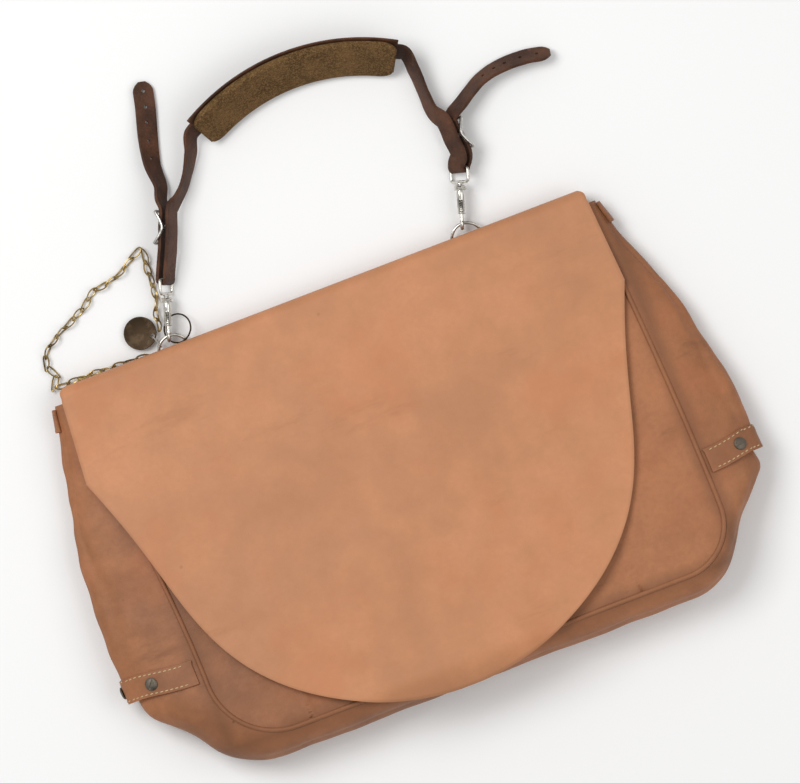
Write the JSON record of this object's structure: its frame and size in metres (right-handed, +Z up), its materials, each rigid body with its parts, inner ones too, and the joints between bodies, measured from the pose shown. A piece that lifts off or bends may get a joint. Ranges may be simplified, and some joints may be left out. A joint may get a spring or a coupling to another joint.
{
  "type": "mail sack",
  "caption": "Letter carrier's leather satchel lying on its back: full front flap, gusseted body, padded shoulder strap clipped to rings with bolt snaps, key chain and tag.",
  "frame": {"origin": "under the middle of the back panel, on the surface the bag lies on", "axes": "+Z up out of the front of the bag, +Y towards the shoulder strap, +X to the right seen from above"},
  "size_m": [0.636, 0.6298, 0.0768],
  "materials": {
    "bag_leather": "vegetable-tanned, worn",
    "flap_leather": "vegetable-tanned, sun-bleached",
    "strap_leather": "dark, oiled by handling",
    "felt": "wool felt",
    "nickel": "nickel plated, worn",
    "rivet": "dull, patinated",
    "chain_brass": "antique",
    "dark_bronze": "dark bronze"
  },
  "bodies": {
    "bag": {"back_panel": "bag_leather", "front_panel": "bag_leather", "front_piping": "bag_leather", "back_piping": "bag_leather", "gusset_bottom": "bag_leather", "gusset_left": "bag_leather", "gusset_right": "bag_leather", "corner_band_left": "bag_leather", "corner_band_right": "bag_leather", "mouth_band_left": "bag_leather", "mouth_band_right": "bag_leather", "band_rivet_left_front": "rivet", "band_rivet_left_back": "rivet", "band_rivet_right_front": "rivet", "band_rivet_right_back": "rivet", "flap_root": "flap_leather", "ring_chape_left": "bag_leather", "ring_chape_right": "bag_leather", "chape_rivet_left": "rivet", "chape_rivet_right": "rivet", "key_chain": "chain_brass"},
    "flap": {"flap": "flap_leather"},
    "ring_left": {"ring_left": "nickel", "tag_link": "nickel", "split_ring": "dark_bronze"},
    "ring_right": {"ring_right": "nickel"},
    "strap": {"shoulder_strap": "strap_leather", "pad_felt": "felt", "pad_backing": "strap_leather", "pad_loop_left": "strap_leather", "pad_loop_right": "strap_leather", "buckle_frame_left": "nickel", "buckle_frame_right": "nickel", "snap_eye_left": "nickel", "snap_eye_right": "nickel"},
    "snap_left": {"snap_body_left": "nickel", "snap_spring_left": "nickel"},
    "snap_right": {"snap_body_right": "nickel", "snap_spring_right": "nickel"},
    "bolt_left": {"snap_bolt_left": "nickel"},
    "bolt_right": {"snap_bolt_right": "nickel"},
    "prong_left": {"buckle_prong_left": "nickel"},
    "prong_right": {"buckle_prong_right": "nickel"},
    "tag": {"key_tag": "dark_bronze"}
  },
  "joints": [
    {"name": "flap_hinge", "type": "hinge", "parent": "bag", "child": "flap", "pos_m": [0, 0.18369, 0.02571], "axis": [-1, 0, 0], "range_deg": [0, 145]},
    {"name": "ring_left_tilt", "type": "hinge", "parent": "bag", "child": "ring_left", "pos_m": [-0.146, 0.1691, 0.0045], "axis": [-1, 0, 0], "range_deg": [-8, 0]},
    {"name": "ring_right_tilt", "type": "hinge", "parent": "bag", "child": "ring_right", "pos_m": [0.144, 0.1691, 0.0045], "axis": [-1, 0, 0], "range_deg": [-8, 0]},
    {"name": "strap_swing", "type": "hinge", "parent": "ring_left", "child": "strap", "pos_m": [0, 0.19558, 0.0122], "axis": [-1, 0, 0], "range_deg": [-80, 0]},
    {"name": "snap_left_swivel", "type": "hinge", "parent": "strap", "child": "snap_left", "pos_m": [-0.146, 0.19558, 0.0122], "axis": [0.3007, 0.9537, 0], "range_deg": [-8, 8]},
    {"name": "snap_right_swivel", "type": "hinge", "parent": "strap", "child": "snap_right", "pos_m": [0.144, 0.19558, 0.0122], "axis": [0.309, 0.9511, 0], "range_deg": [-8, 8]},
    {"name": "bolt_left_slide", "type": "slide", "parent": "snap_left", "child": "bolt_left", "axis": [0.3007, 0.9537, 0], "range_m": [0, 0.008], "stiffness_N_per_m": 200, "springref_m": -0.002, "deforming": ["snap_spring_left"]},
    {"name": "bolt_right_slide", "type": "slide", "parent": "snap_right", "child": "bolt_right", "axis": [0.309, 0.9511, 0], "range_m": [0, 0.008], "stiffness_N_per_m": 200, "springref_m": -0.002, "deforming": ["snap_spring_right"]},
    {"name": "prong_left_hinge", "type": "hinge", "parent": "strap", "child": "prong_left", "pos_m": [-0.111, 0.289, 0.0175], "axis": [0.3918, -0.1583, -0.9063], "range_deg": [0, 70]},
    {"name": "prong_right_hinge", "type": "hinge", "parent": "strap", "child": "prong_right", "pos_m": [0.1655, 0.2725, 0.0175], "axis": [0.6419, 0.0336, 0.766], "range_deg": [0, 70]},
    {"name": "tag_swing", "type": "hinge", "parent": "ring_left", "child": "tag", "pos_m": [-0.16028, 0.20086, 0.00643], "axis": [0.5408, 0.8412, 0], "range_deg": [0, 25]}
  ],
  "couplings": [
    {"joint": "ring_right_tilt", "follows": "ring_left_tilt", "ratio": 1}
  ]
}
